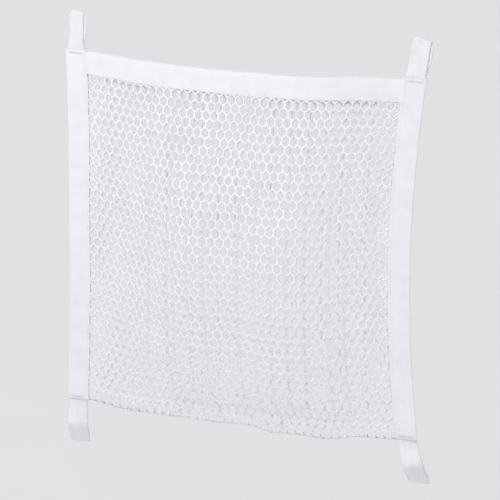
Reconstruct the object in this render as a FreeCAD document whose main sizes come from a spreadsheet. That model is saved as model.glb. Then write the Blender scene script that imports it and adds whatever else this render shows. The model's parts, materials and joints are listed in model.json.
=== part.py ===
import FreeCAD, Part
import math
import os
import Sketcher
from FreeCAD import Placement, Rotation, Vector

# A flat net pocket for shoes, held at its four corners by loops of webbing.
#
# Frame, in millimetres: +X to the right, -Y to the front, +Z up. The origin lies midway between
# the two upper loops, on the straight line through both, where a rail or a pair of hooks holds them.
#
# The cloth is a stack of layers. A layer's place is its depth in front of the plane y = 0:
#   binding (back layer) | back net | webbing tails, two strips thick | front net | binding (front layer)

DIMENSIONS = (
    # The cloth body, without its loops
    ("bag_width", 365),
    ("bag_height", 360),
    ("bow_left", 2.6),          # how far the load pulls each side edge inwards at mid height
    ("bow_right", 11.6),
    ("hem_sag", 4),             # how far the top edge hangs below its ends
    ("bottom_sag", 6),
    ("bulge_depth", 52),        # how far the contents push the front net out
    ("bulge_centre", 10),       # how far to the right the contents lie
    ("slope_across", 0.62),     # shares of the way from the contents to each seam that slope
    ("slope_below", 0.2),
    ("slope_above", 0.6),
    ("flat_border", 9),         # flat net between the bulge and the seams around it
    ("mouth_depth", 13),        # how far the front hem stands off the back hem
    # Tape, net and thread
    ("tape_thickness", 0.6),
    ("net_thickness", 0.8),
    ("binding_width", 22),
    ("hem_height", 22),
    ("fold_thickness", 0.8),    # solid cloth at the folded edge of a tape
    ("fold_slack", 0.3),        # between the fold and the net's raw edge inside it
    ("turned_edge", 8),         # net turned inwards at the bottom seam
    ("thread_width", 0.8),
    ("thread_height", 0.3),
    ("thread_inset", 2.2),      # from a tape's free edge to its stitching
    ("bartack_width", 14),
    ("bartack_height", 2.6),
    ("bartack_thickness", 0.5),
    ("bartack_inset", 2),
    # Webbing loops
    ("webbing_width", 20),
    ("webbing_thickness", 0.8),
    ("tail_length", 25),        # webbing sewn into the binding
    ("bend_clearance", 0.5),    # between a tail's end and the loop that swings on it
    ("top_reach", 31.7),        # from the bend to the centre of the round tip
    ("bottom_reach", 36),
    ("top_tip", 6.3),           # outer radius of the round tip
    ("bottom_tip", 6),
    ("top_gap", 3),             # from the end of the binding to the bend
    ("bottom_gap", 5),
    ("lean_top_left", -1.5),    # degrees, positive where the tip points away from the bag's middle
    ("lean_top_right", 8),
    ("lean_bottom_left", -1.5),
    ("lean_bottom_right", 17),
)

# Control points across and up the bulging front net's surface
SURFACE_COLUMNS = 65
SURFACE_ROWS = 69
SURFACE_DEGREE = 3
# How far that surface runs on past the panel's edges
SURFACE_MARGIN = 5.0
# Depth of the tool solids that trim the front net and its hem
TRIM_DEPTH = 200.0

SIDES = {"left": -1, "right": 1}
ENDS = {"top": 1, "bottom": -1}

doc = FreeCAD.newDocument("shoe_bag")
sheet = doc.addObject("Spreadsheet::Sheet", "dims")
for row, (alias, number) in enumerate(DIMENSIONS, start=1):
    sheet.set("A%d" % row, alias)
    sheet.set("B%d" % row, str(number))
    sheet.setAlias("B%d" % row, alias)
doc.recompute()


def value(expression):
    """The number that a spreadsheet expression stands for."""
    result = sheet.evalExpression(str(expression))
    return float(getattr(result, "Value", result))


# Places, as expressions of the sheet ---------------------------------------------------------

TOP = "(-dims.top_reach*cos(dims.lean_top_left*1deg) - dims.top_gap)"
BOTTOM = "(%s - dims.bag_height)" % TOP
MIDDLE = "(%s - dims.bag_height/2)" % TOP
NET_BACK = "(-dims.webbing_thickness - dims.net_thickness)"
NET_FRONT = "dims.webbing_thickness"
CLOTH_FRONT = "(dims.webbing_thickness + dims.net_thickness + dims.tape_thickness)"
CLOTH_BACK = "(-%s)" % CLOTH_FRONT


def bow_radius(side):
    """Radius of a side edge, from its height and how far it bows."""
    bow = "dims.bow_" + side
    return "((dims.bag_height^2/4 + %s^2)/(2*%s))" % (bow, bow)


def edge_x(side, height, inset):
    """X of a side edge, moved in by inset, at a height."""
    radius = bow_radius(side)
    reach = "sqrt(%s^2 - (%s - %s)^2)" % (radius, height, MIDDLE)
    across = "(dims.bag_width/2 - dims.bow_%s + %s - %s - (%s))" % (side, radius, reach, inset)
    return across if side == "right" else "(-%s)" % across


def sag_radius(sag):
    """Radius of a cross edge that hangs between the inner edges of the bindings."""
    half_span = "(dims.bag_width/2 - dims.binding_width)"
    return "((%s^2 + %s^2)/(2*%s))" % (half_span, sag, sag)


def net_corner(side, end):
    """Where the net's raw edges meet inside the folds of a binding and of the hem or seam."""
    sag = "dims.hem_sag" if end == "top" else "dims.bottom_sag"
    level = TOP if end == "top" else BOTTOM
    raised = "dims.fold_thickness + dims.fold_slack" if end == "top" else "0"
    across = edge_x(side, level, "dims.fold_thickness + dims.fold_slack")
    radius = sag_radius(sag)
    height = "(%s - %s + %s - sqrt(%s^2 - %s^2) - (%s))" % (level, sag, radius, radius, across, raised)
    return across, height


# PartDesign helpers --------------------------------------------------------------------------

def new_body(label):
    body = doc.addObject("PartDesign::Body", label)
    body.Label = label
    return body


def new_sketch(body, plane, depth="0"):
    """A sketch on one of the body's own planes, moved along that plane's normal."""
    sketch = body.newObject("Sketcher::SketchObject", "outline")
    planes = {feature.Role: feature for feature in body.Origin.OriginFeatures}
    sketch.AttachmentSupport = (planes[plane], [""])
    sketch.MapMode = "FlatFace"
    sketch.setExpression("AttachmentOffset.Base.z", depth)
    return sketch


def bind(sketch, expression, kind, *references):
    """A dimension of the sketch that follows an expression."""
    index = sketch.addConstraint(Sketcher.Constraint(kind, *references, value(expression)))
    sketch.setExpression("Constraints[%d]" % index, expression)


def arc_between(start, end, radius, hollow):
    """The short arc of a radius between two points, and whether it runs from start to end.

    Its centre lies on the same side of the chord as the point hollow.
    """
    chord = end - start
    middle = (start + end) * 0.5
    across = Vector(-chord.y, chord.x, 0).normalize()
    if (hollow - middle).dot(across) < 0:
        across = across * -1
    centre = middle + across * math.sqrt(radius ** 2 - chord.Length ** 2 / 4)
    first, last = start - centre, end - centre
    forward = first.cross(last).z > 0
    if not forward:
        first, last = last, first
    from_angle = math.atan2(first.y, first.x)
    to_angle = math.atan2(last.y, last.x)
    if to_angle < from_angle:
        to_angle += 2 * math.pi
    circle = Part.Circle(centre, Vector(0, 0, 1), radius)
    return Part.ArcOfCircle(circle, from_angle, to_angle), forward


def draw_outline(sketch, corners, arcs=None):
    """A closed outline through corners, given as pairs of expressions.

    arcs maps a corner's index to the radius, as an expression, and the hollow side's direction
    of the arc that leaves it. Every other side is straight.
    """
    arcs = arcs or {}
    points = [Vector(value(x), value(y), 0) for x, y in corners]
    ends = []
    for index, start in enumerate(points):
        end = points[(index + 1) % len(points)]
        if index in arcs:
            radius, direction = arcs[index]
            curve, forward = arc_between(start, end, value(radius), (start + end) * 0.5 + direction)
            geometry = sketch.addGeometry(curve)
            bind(sketch, radius, "Radius", geometry)
        else:
            geometry = sketch.addGeometry(Part.LineSegment(start, end))
            forward = True
        ends.append((geometry, 1, 2) if forward else (geometry, 2, 1))
    for index, (x, y) in enumerate(corners):
        geometry, first, _ = ends[index]
        previous, _, last = ends[index - 1]
        sketch.addConstraint(Sketcher.Constraint("Coincident", previous, last, geometry, first))
        bind(sketch, x, "DistanceX", -1, 1, geometry, first)
        bind(sketch, y, "DistanceY", -1, 1, geometry, first)


def pad(body, sketch, length):
    """The body's next Pad, along the sketch's normal."""
    feature = body.newObject("PartDesign::Pad", "layer")
    feature.Profile = sketch
    feature.setExpression("Length", length)
    body.Tip = feature
    return feature


def layer(body, draw, depth, thickness):
    """One flat layer of cloth: draw adds its outline to a sketch that faces the front."""
    sketch = new_sketch(body, "XZ_Plane", depth)
    draw(sketch)
    pad(body, sketch, thickness)


def folded_tape(label, draw, depth, filling):
    """A tape folded in half over an edge: draw(sketch, width) outlines a width from the fold."""
    body = new_body(label)
    layer(body, lambda sketch: draw(sketch, None), depth, "dims.tape_thickness")
    inside = "%s + dims.tape_thickness" % depth
    layer(body, lambda sketch: draw(sketch, "dims.fold_thickness"), inside, filling)
    front = "%s + %s" % (inside, filling)
    layer(body, lambda sketch: draw(sketch, None), front, "dims.tape_thickness")
    return body


# Outlines ------------------------------------------------------------------------------------

def draw_side_strip(sketch, side, inset, width):
    """A strip that follows a side edge over the bag's whole height."""
    outer, inner = inset, "(%s + %s)" % (inset, width)
    away = Vector(SIDES[side], 0, 0)
    corners = (
        (edge_x(side, TOP, outer), TOP),
        (edge_x(side, BOTTOM, outer), BOTTOM),
        (edge_x(side, BOTTOM, inner), BOTTOM),
        (edge_x(side, TOP, inner), TOP),
    )
    radius = bow_radius(side)
    draw_outline(sketch, corners, {0: (radius, away), 2: (radius, away)})


def draw_cross_strip(sketch, end, low, high):
    """A strip between the bindings that follows the top or bottom edge, from low to high above it."""
    sag = "dims.hem_sag" if end == "top" else "dims.bottom_sag"
    level = TOP if end == "top" else BOTTOM
    corners = []
    for side, raised in (("left", high), ("left", low), ("right", low), ("right", high)):
        height = "(%s + %s)" % (level, raised)
        corners.append((edge_x(side, height, "dims.binding_width"), height))
    radius = sag_radius(sag)
    above = Vector(0, 1, 0)
    draw_outline(sketch, corners, {1: (radius, above), 3: (radius, above)})


def draw_net(sketch):
    """A whole net panel, out to the folds of the bindings and the hem."""
    order = (("left", "top"), ("left", "bottom"), ("right", "bottom"), ("right", "top"))
    corners = [net_corner(side, end) for side, end in order]
    above = Vector(0, 1, 0)
    draw_outline(sketch, corners, {
        0: (bow_radius("left"), Vector(-1, 0, 0)),
        1: (sag_radius("dims.bottom_sag"), above),
        2: (bow_radius("right"), Vector(1, 0, 0)),
        3: (sag_radius("dims.hem_sag"), above),
    })


# Tapes, back net and thread ------------------------------------------------------------------

def make_side_binding(side):
    def draw(sketch, width):
        draw_side_strip(sketch, side, "0", width or "dims.binding_width")

    filling = "2*(dims.webbing_thickness + dims.net_thickness)"
    folded_tape("side_binding_" + side, draw, CLOTH_BACK, filling)


def make_hem_back():
    def draw(sketch, width):
        draw_cross_strip(sketch, "top", "-" + (width or "dims.hem_height"), "0")

    folded_tape("hem_back", draw, CLOTH_BACK, "dims.net_thickness")


def make_mesh_back():
    """The back net, and its lower edge turned inwards."""
    body = new_body("mesh_back")
    layer(body, draw_net, NET_BACK, "dims.net_thickness")

    def draw_turned_edge(sketch):
        draw_cross_strip(sketch, "bottom", "0", "dims.turned_edge")

    layer(body, draw_turned_edge, "-dims.webbing_thickness", "dims.webbing_thickness")


def make_binding_stitch(side):
    body = new_body("binding_stitch_" + side)
    inset = "(dims.binding_width - dims.thread_inset - dims.thread_width)"
    layer(body, lambda sketch: draw_side_strip(sketch, side, inset, "dims.thread_width"),
          CLOTH_FRONT, "dims.thread_height")


def make_cross_stitch(label, end, low, depth):
    """A row of thread along the top or bottom edge, low above it."""
    body = new_body(label)
    high = "(%s + dims.thread_width)" % low
    layer(body, lambda sketch: draw_cross_strip(sketch, end, low, high), depth, "dims.thread_height")


def make_bartack(end, side):
    """A dense bar of thread across the end of a binding, over the loop's tail."""
    level = TOP if end == "top" else BOTTOM
    inward = "-" if end == "top" else "+"
    near = "(%s %s dims.bartack_inset)" % (level, inward)
    far = "(%s %s dims.bartack_height)" % (near, inward)
    middle = edge_x(side, near, "dims.binding_width/2")
    left = "(%s - dims.bartack_width/2)" % middle
    right = "(%s + dims.bartack_width/2)" % middle
    corners = ((left, near), (right, near), (right, far), (left, far))
    body = new_body("bartack_%s_%s" % (end, side))
    layer(body, lambda sketch: draw_outline(sketch, corners), CLOTH_FRONT, "dims.bartack_thickness")


# Webbing loops -------------------------------------------------------------------------------

def lean(end, side):
    return "(dims.lean_%s_%s*1deg)" % (end, side)


def bend_point(end, side):
    """X and Z of the line where a loop bends, on the loop's own leaning centre line."""
    level = TOP if end == "top" else BOTTOM
    angle = lean(end, side)
    if end == "top":
        height = "(-dims.top_reach*cos(%s))" % angle
    else:
        height = "(%s - dims.bottom_gap)" % BOTTOM
    root = edge_x(side, level, "dims.binding_width/2")
    shift = "%d*tan(%s)*abs(%s - %s)" % (SIDES[side], angle, height, level)
    return "(%s + %s)" % (root, shift), height


def make_loop_tail(end, side):
    """The sewn-in ends of a loop: they follow the binding, then lean with the loop."""
    level = TOP if end == "top" else BOTTOM
    up, out = ENDS[end], SIDES[side]
    angle = lean(end, side)
    half = "dims.webbing_width/2"
    sewn_z = "(%s - %d*dims.tail_length)" % (level, up)
    sewn_x = edge_x(side, sewn_z, "dims.binding_width/2")
    root_x = edge_x(side, level, "dims.binding_width/2")
    bend_x, bend_z = bend_point(end, side)
    back_off = "(dims.webbing_thickness + dims.bend_clearance)"
    end_x = "(%s - %d*sin(%s)*%s)" % (bend_x, out, angle, back_off)
    end_z = "(%s - %d*cos(%s)*%s)" % (bend_z, up, angle, back_off)

    def tip(sign):
        x = "(%s + %d*cos(%s)*%s)" % (end_x, sign, angle, half)
        return x, "(%s - %d*sin(%s)*%s)" % (end_z, sign * up * out, angle, half)

    corners = (
        ("(%s - %s)" % (sewn_x, half), sewn_z),
        ("(%s + %s)" % (sewn_x, half), sewn_z),
        ("(%s + %s)" % (root_x, half), level),
        tip(1),
        tip(-1),
        ("(%s - %s)" % (root_x, half), level),
    )
    body = new_body("loop_tail_%s_%s" % (end, side))
    layer(body, lambda sketch: draw_outline(sketch, corners), "-dims.webbing_thickness",
          "2*dims.webbing_thickness")


def draw_loop_profile(sketch, reach, tip):
    """A band of webbing seen from its side: pressed together at the bend, round at the tip."""
    web = "dims.webbing_thickness"
    inner_tip = "%s - %s" % (tip, web)
    length, small, large = value(reach), value(web), value(tip)
    slope = math.asin((large - small) / length)
    centre, up = Vector(0, length, 0), Vector(0, 0, 1)
    right = Vector(math.cos(slope), -math.sin(slope), 0)
    left = Vector(-right.x, right.y, 0)
    start, end = -slope, math.pi + slope
    origin = Vector(0, 0, 0)

    def arc(middle, radius, first, last):
        return sketch.addGeometry(Part.ArcOfCircle(Part.Circle(middle, up, radius), first, last))

    def line(first, last):
        return sketch.addGeometry(Part.LineSegment(first, last))

    def join(kind, *references):
        sketch.addConstraint(Sketcher.Constraint(kind, *references))

    root_arc = arc(origin, small, end, 2 * math.pi + start)
    right_line = line(right * small, centre + right * large)
    tip_arc = arc(centre, large, start, end)
    left_line = line(centre + left * large, left * small)
    inner_right = line(origin, centre + right * (large - small))
    inner_arc = arc(centre, large - small, start, end)
    inner_left = line(centre + left * (large - small), origin)

    join("Coincident", root_arc, 3, -1, 1)
    join("PointOnObject", tip_arc, 3, -2)
    join("Coincident", inner_arc, 3, tip_arc, 3)
    join("Coincident", inner_right, 1, -1, 1)
    join("Coincident", inner_left, 2, -1, 1)
    for first, second in ((root_arc, right_line), (right_line, tip_arc), (tip_arc, left_line),
                          (left_line, root_arc), (inner_right, inner_arc), (inner_arc, inner_left)):
        join("Tangent", first, 2, second, 1)
    bind(sketch, reach, "DistanceY", -1, 1, tip_arc, 3)
    bind(sketch, web, "Radius", root_arc)
    bind(sketch, tip, "Radius", tip_arc)
    bind(sketch, inner_tip, "Radius", inner_arc)


def make_loop(end, side):
    """The free part of a loop, which swings about its bend."""
    body = new_body("loop_%s_%s" % (end, side))
    sketch = new_sketch(body, "YZ_Plane", "-dims.webbing_width/2")
    draw_loop_profile(sketch, "dims.%s_reach" % end, "dims.%s_tip" % end)
    pad(body, sketch, "dims.webbing_width")
    x, z = bend_point(end, side)
    turn = lean(end, side) if end == "top" else "(180deg - %s)" % lean(end, side)
    body.Placement = Placement(Vector(0, 0, 0), Rotation(Vector(0, 1, 0), 1))
    body.setExpression("Placement.Base.x", x)
    body.setExpression("Placement.Base.z", z)
    body.setExpression("Placement.Rotation.Angle", "%d*%s" % (SIDES[side], turn))


# Front net and its hem -----------------------------------------------------------------------

def cross_edge(end, x):
    """Height of the sagging top or bottom edge at x."""
    sag = value("dims.hem_sag" if end == "top" else "dims.bottom_sag")
    level = value(TOP if end == "top" else BOTTOM)
    radius = value(sag_radius(str(sag)))
    return level - sag + radius - math.sqrt(radius ** 2 - x ** 2)


def taut_share(distance, slope):
    """Share of the full depth, at a distance from a seam: a straight start that rounds over."""
    return math.sin(math.pi / 2 * min(max(distance / slope, 0), 1))


def front_depth(x, z, left, right):
    """How far the front net stands off its flat place, in a row that bulges from left to right."""
    middle = value("dims.bulge_centre")
    seam = right if x > middle else left
    width_share = taut_share(1 - (x - middle) / (seam - middle), value("dims.slope_across"))
    low = cross_edge("bottom", x) + value("dims.turned_edge + dims.flat_border")
    high = cross_edge("top", x) - value("dims.hem_height")
    rise = min(max((z - low) / (high - low), 0), 1)
    below = taut_share(rise, value("dims.slope_below"))
    above = taut_share(1 - rise, value("dims.slope_above"))
    bulge = value("dims.bulge_depth") * below * above
    mouth = value("dims.mouth_depth") * rise ** 2 * (3 - 2 * rise)
    return width_share * (bulge + mouth)


def clamped_knots(count):
    """Knots and multiplicities of a clamped spline with this many evenly spaced control points."""
    spans = count - SURFACE_DEGREE
    ends = SURFACE_DEGREE + 1
    return list(range(spans + 1)), [ends] + [1] * (spans - 1) + [ends]


def front_surface():
    """The face that the front net's rear side follows, wider and taller than the panel.

    Its control points follow the bulge, so the face stays exactly flat where they are flat.
    """
    half_width = value("dims.bag_width/2") + SURFACE_MARGIN
    low = value(BOTTOM) - value("dims.bottom_sag") - SURFACE_MARGIN
    high = value(TOP) + SURFACE_MARGIN
    rows = []
    for row in range(SURFACE_ROWS):
        z = low + (high - low) * row / (SURFACE_ROWS - 1)
        left = value(edge_x("left", z, "dims.binding_width + dims.flat_border"))
        right = value(edge_x("right", z, "dims.binding_width + dims.flat_border"))
        points = []
        for column in range(SURFACE_COLUMNS):
            x = half_width * (2 * column / (SURFACE_COLUMNS - 1) - 1)
            y = -value(NET_FRONT) - front_depth(x, z, left, right)
            points.append(Vector(x, y, z))
        rows.append(points)
    up_knots, up_multiplicities = clamped_knots(SURFACE_ROWS)
    across_knots, across_multiplicities = clamped_knots(SURFACE_COLUMNS)
    surface = Part.BSplineSurface()
    surface.buildFromPolesMultsKnots(rows, up_multiplicities, across_multiplicities,
                                     up_knots, across_knots, False, False,
                                     SURFACE_DEGREE, SURFACE_DEGREE)
    return surface.toShape()


def trim_prism(draw):
    """The outline that draw makes, deep enough to cut any bulging panel to it."""
    body = new_body("trim")
    sketch = new_sketch(body, "XZ_Plane")
    draw(sketch)
    doc.recompute()
    face = Part.Face(sketch.Shape.Wires[0])
    prism = face.extrude(Vector(0, -TRIM_DEPTH, 0)).translated(Vector(0, TRIM_DEPTH / 2, 0))
    body.removeObjectsFromDocument()
    doc.removeObject(body.Name)
    return prism


def slab(face, rear, thickness):
    """Cloth of a thickness in front of the face, which first moves forwards by rear."""
    moved = face.translated(Vector(0, -rear, 0))
    return moved.extrude(Vector(0, -thickness, 0))


def add_feature(label, shape):
    feature = doc.addObject("Part::Feature", label)
    feature.Label = label
    feature.Shape = shape
    return feature


def make_front():
    """The front net, the hem folded over its top edge, and the hem's thread."""
    tape, net = value("dims.tape_thickness"), value("dims.net_thickness")
    face = front_surface()
    panel = slab(face, 0, net).common(trim_prism(draw_net))
    seam = trim_prism(lambda sketch: draw_cross_strip(sketch, "bottom", "0", "dims.turned_edge"))
    turned_edge = slab(face, -value(NET_FRONT), value(NET_FRONT) + net / 2).common(seam)
    panel = panel.fuse(turned_edge).removeSplitter()
    add_feature("mesh_front", panel.Solids[0])

    band = trim_prism(lambda sketch: draw_cross_strip(sketch, "top", "-dims.hem_height", "0"))
    hem = slab(face, -tape, net + 2 * tape).common(band).cut(panel)
    add_feature("hem_front", hem.Solids[0])

    low = "(dims.thread_inset - dims.hem_height)"
    high = "(%s + dims.thread_width)" % low
    strip = trim_prism(lambda sketch: draw_cross_strip(sketch, "top", low, high))
    thread = slab(face, net + tape, value("dims.thread_height")).common(strip)
    add_feature("hem_stitch_front", thread.Solids[0])


# Assembly ------------------------------------------------------------------------------------

for side_name in SIDES:
    make_side_binding(side_name)
    make_binding_stitch(side_name)
    for end_name in ENDS:
        make_loop_tail(end_name, side_name)
        make_loop(end_name, side_name)
        make_bartack(end_name, side_name)
make_hem_back()
make_mesh_back()
make_cross_stitch("hem_stitch_back", "top", "(dims.thread_inset - dims.hem_height)",
                  "(%s + 2*dims.tape_thickness + dims.net_thickness)" % CLOTH_BACK)
make_cross_stitch("bottom_seam_stitch", "bottom",
                  "(dims.turned_edge - dims.thread_inset)", "(%s + dims.net_thickness)" % NET_FRONT)
make_front()
doc.recompute()

sub_parts = [item for item in doc.Objects
             if item.TypeId in ("PartDesign::Body", "Part::Feature") and item.getParentGroup() is None]
for item in doc.Objects:
    if "Invalid" in item.State or "Error" in item.State:
        raise RuntimeError("%s failed: %s" % (item.Label, item.State))
for sub_part in sub_parts:
    shape = sub_part.Shape
    if shape.isNull() or not shape.isValid() or len(shape.Solids) != 1:
        raise RuntimeError("%s isn't one valid solid" % sub_part.Label)

os.makedirs("parts", exist_ok=True)
for sub_part in sub_parts:
    sub_part.Shape.exportStep("parts/%s.step" % sub_part.Label)
    print("%-24s %9.1f mm3" % (sub_part.Label, sub_part.Shape.Volume))
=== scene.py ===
import json
import math
import bpy
import numpy as np
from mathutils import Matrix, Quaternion, Vector
from mathutils.bvhtree import BVHTree


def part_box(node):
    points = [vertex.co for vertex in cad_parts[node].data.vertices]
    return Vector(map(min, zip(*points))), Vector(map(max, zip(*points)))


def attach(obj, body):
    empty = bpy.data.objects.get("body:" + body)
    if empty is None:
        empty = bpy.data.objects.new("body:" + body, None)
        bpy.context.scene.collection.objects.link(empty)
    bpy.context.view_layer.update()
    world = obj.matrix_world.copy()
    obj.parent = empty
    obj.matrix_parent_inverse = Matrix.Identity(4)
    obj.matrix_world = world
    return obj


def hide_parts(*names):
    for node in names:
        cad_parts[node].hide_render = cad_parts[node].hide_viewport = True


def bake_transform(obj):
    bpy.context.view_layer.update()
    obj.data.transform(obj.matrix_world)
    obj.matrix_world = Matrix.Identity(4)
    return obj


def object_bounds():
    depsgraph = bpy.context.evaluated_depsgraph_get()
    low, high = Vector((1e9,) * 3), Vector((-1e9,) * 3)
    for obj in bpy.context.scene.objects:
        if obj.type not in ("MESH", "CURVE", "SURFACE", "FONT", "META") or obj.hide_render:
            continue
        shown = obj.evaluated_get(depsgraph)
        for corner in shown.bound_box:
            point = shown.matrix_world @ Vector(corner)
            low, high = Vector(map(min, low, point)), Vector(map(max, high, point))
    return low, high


# The looks of a flat net pocket for shoes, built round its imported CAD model.
#
# The frame is the CAD's: metres, +X right, -Y front, +Z up. Outlines and depths are read off the
# CAD nodes. The net is a lattice of long hexagons laid over each panel, the tapes are folded
# strips, the loops are single lengths of webbing, and every stitch is a short piece of thread.

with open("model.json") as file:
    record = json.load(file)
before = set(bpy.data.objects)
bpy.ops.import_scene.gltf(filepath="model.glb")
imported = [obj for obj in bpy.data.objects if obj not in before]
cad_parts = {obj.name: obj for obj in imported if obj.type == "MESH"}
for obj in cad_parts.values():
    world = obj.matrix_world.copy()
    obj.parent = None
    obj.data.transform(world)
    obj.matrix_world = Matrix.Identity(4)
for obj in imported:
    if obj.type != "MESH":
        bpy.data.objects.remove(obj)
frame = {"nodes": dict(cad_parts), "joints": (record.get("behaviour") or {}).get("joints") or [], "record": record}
cad_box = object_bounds()

MM = 0.001
X, Y, Z = range(3)
FAR = 1.0                          # a place well outside the bag, where probing rays start
SIDES = {"left": -1, "right": 1}
ENDS = {"top": 1, "bottom": -1}

# Sizes of the cloth that the plain CAD solids don't carry

# Tape
TAPE = 0.6 * MM                    # thickness of the binding and hem tape
TUCK = 5 * MM                      # hem that runs on under each binding
PINCH = 0.55 * MM                  # from the middle of a binding to its tape, where it is sewn down
LIP_CURVE = 1.5                    # power of the slope from a tape's fold to its free edge

# Webbing
WEBBING = 0.85 * MM
WEBBING_WIDTH = 20 * MM
SELVEDGE = 0.35                    # share of its thickness that it loses at its edges
TAIL = 20 * MM                     # webbing sewn in between the two layers of a binding
TAIL_SPREAD = 0.4 * WEBBING        # how far it pushes each of them out
TAIL_FADE = 0.6 * TAIL             # binding past its end that narrows again
TURNING = 8 * MM                   # webbing that it takes to turn from upright to its loop's own way
TWIST_REACH = 0.42                 # share of a loop over which it takes up its twist
SLIP_REACH = 0.5                   # over which its rear run slips aside and its crease fades out
BIAS_START = 1 / 3                 # share of a loop before which its strap doesn't slant
ROUND_TIP = 0.16                   # share of a strap's whole length that goes round the tip
SEWN_GATHER = 0.16                 # share of its width that webbing loses under the tape
FOLD_GATHER = 0.14                 # and at the loop's tip
GATHERING = 3 * MM                 # webbing that it takes to draw it in
STRAP_POINTS = 160                 # points along a strap

# Net
CELL = 8.85 * MM                   # across one hole and one thread
ROW = 8.94 * MM                    # from one row of holes to the next
UPRIGHT = 0.55 * ROW               # length of the upright threads between two holes of a row
THREAD = 1.8 * MM                  # width of a thread
NET_RISE = 0.42 * MM               # half of the net's thickness at a thread's middle
KNOT_RISE = 0.55 * MM              # and where three threads meet
PRESSED_RISE = 0.6 * NET_RISE      # and where it is sewn down
SHOULDER_RISE = 0.8 * NET_RISE     # and on a thread's shoulders
SHOULDER = 0.55                    # their place, as a share of the way from its middle to its edge
KNOT_SCATTER = 0.12 * MM           # how far the net's points stray from an even lattice
HOLE_SCATTER = 0.02                # and by what share its holes differ in size
GRAIN = 0.01 * MM                  # points of the net that are closer than this are one
TURNED = 6 * MM                    # net turned inwards at the bottom seam
NARROWING = 10 * MM                # net inside a binding between its seam and its full thickness
FLAT_SIDES = 3 * CELL              # front net that is drawn in beside each binding
FLAT_BOTTOM = 2 * CELL             # and above the bottom seam
RIPPLE = 0.6 * MM                  # height of the back net's slow ripples
RIPPLE_FADE = 4 * CELL             # net beside the bindings where they fade out

# Sewing
SEAM_RISE = 5.4 * MM               # from the bottom edge up to the seam's stitches
STITCH = 2.9 * MM                  # one stitch and the gap after it
STITCH_SHARE = 0.8                 # of that, the stitch
STITCH_RADIUS = 0.2 * MM
STITCH_INSET = 2.4 * MM            # from a tape's free edge
SEAM_PULL = 0.18 * MM              # how deep stitches draw the tape in
SEAM_SPREAD = 1.4 * MM             # and how far to either side of them
BARTACK_STRANDS = 37
BARTACK_RADIUS = 0.11 * MM

PROBES = 61                        # places along an edge of the CAD where it is read

random = np.random.default_rng(7)


# Reading the frame ---------------------------------------------------------------------------

trees = {}


def probe(node, start, direction):
    """Where a ray first meets a CAD node."""
    if node not in trees:
        mesh = frame["nodes"][node].data
        corners = [v.co for v in mesh.vertices]
        trees[node] = BVHTree.FromPolygons(corners, [p.vertices for p in mesh.polygons])
    return trees[node].ray_cast(Vector(start), Vector(direction))[0]


def line_through(places, hits, axis):
    """A function that reads one coordinate of the hits between the places they were probed at."""
    found = [(place, hit[axis]) for place, hit in zip(places, hits) if hit]
    return lambda at: np.interp(at, *zip(*found))


first_corner, last_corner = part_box("side_binding_left")
FRONT, LOW = first_corner.y, first_corner.z
BACK, HIGH = last_corner.y, last_corner.z
MIDDLE = (LOW + HIGH) / 2
BINDING_END = {"top": HIGH, "bottom": LOW}
hem_first, hem_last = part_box("hem_back")
HALF_HEM = hem_last.x              # half of a hem's length
HEM_MID = (hem_first.y + hem_last.y) / 2
HALF_FOLD = (BACK - hem_first.y) / 2               # half of its folded thickness
NET_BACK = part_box("mesh_back")[1].y / 2 + TAPE / 2

# Places for probing stop just short of the ends
LEVELS = np.linspace(LOW + 0.1 * MM, HIGH - 0.1 * MM, PROBES)
ACROSS = np.linspace(-HALF_HEM + 0.2 * MM, HALF_HEM - 0.2 * MM, PROBES)

# Where each binding has its fold and its free edge, in X, at any height
outer = {}
inner = {}
for side, sign in SIDES.items():
    tape = "side_binding_" + side
    folds = [probe(tape, (sign * FAR, 0, z), (-sign, 0, 0)) for z in LEVELS]
    edges = [probe(tape, (0, FRONT + TAPE / 2, z), (sign, 0, 0)) for z in LEVELS]
    outer[side] = line_through(LEVELS, folds, X)
    inner[side] = line_through(LEVELS, edges, X)

# The hems' upper and lower edges and the bottom edge, in Z, and the front hem's face, in Y
hem_top = line_through(ACROSS, [probe("hem_back", (x, HEM_MID, FAR), (0, 0, -1)) for x in ACROSS], Z)
hem_low = line_through(
    ACROSS, [probe("hem_back", (x, BACK - TAPE / 2, -FAR), (0, 0, 1)) for x in ACROSS], Z)
seam = line_through(ACROSS, [probe("mesh_back", (x, NET_BACK, -FAR), (0, 0, 1)) for x in ACROSS], Z)
HEM = float(hem_top(0) - hem_low(0))               # width of a hem
hem_front = line_through(
    ACROSS, [probe("hem_front", (x, -FAR, hem_top(x) - HEM / 2), (0, 1, 0)) for x in ACROSS], Y)


def ease(share):
    """A share from 0 to 1 that starts and stops softly."""
    share = np.clip(share, 0, 1)
    return share * share * (3 - 2 * share)


def wander(*turns):
    """How far a soft edge strays from the CAD's, from (place along it, offset) pairs in mm."""
    places, offsets = np.array(turns, float).T * MM

    def offset(at):
        k = np.clip(np.searchsorted(places, at) - 1, 0, len(places) - 2)
        share = ease((at - places[k]) / (places[k + 1] - places[k]))
        return offsets[k] * (1 - share) + offsets[k + 1] * share

    return offset


# The load pushes the bottom edge down below the toes of a pair of shoes, and lets the hems droop
seam_stray = wander((-160, 1.2), (-120, -1.6), (-32, -0.3), (9, 1.1), (34, -3.8), (60, -3.6), (86, -5.3),
                    (130, -0.4), (160, -0.9))
droop_front = wander((-160, -1.6), (0, -1.6), (62, -1.9), (115, -0.6), (160, -1.8))
droop_back = wander((-160, -1.8), (-50, -4.4), (0, -4.6), (85, -5.6), (110, -1.6), (160, -2.2))


def bottom(x):
    """Height of the bag's bottom edge."""
    return seam(x) + seam_stray(x)


def stack(z):
    """Half the thickness of a binding at its fold, more at the ends, where webbing lies inside."""
    past_tail = np.minimum(z - LOW, HIGH - z) - TAIL
    return 2 * TAPE + TAIL_SPREAD * (1 - ease(past_tail / TAIL_FADE))


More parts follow.
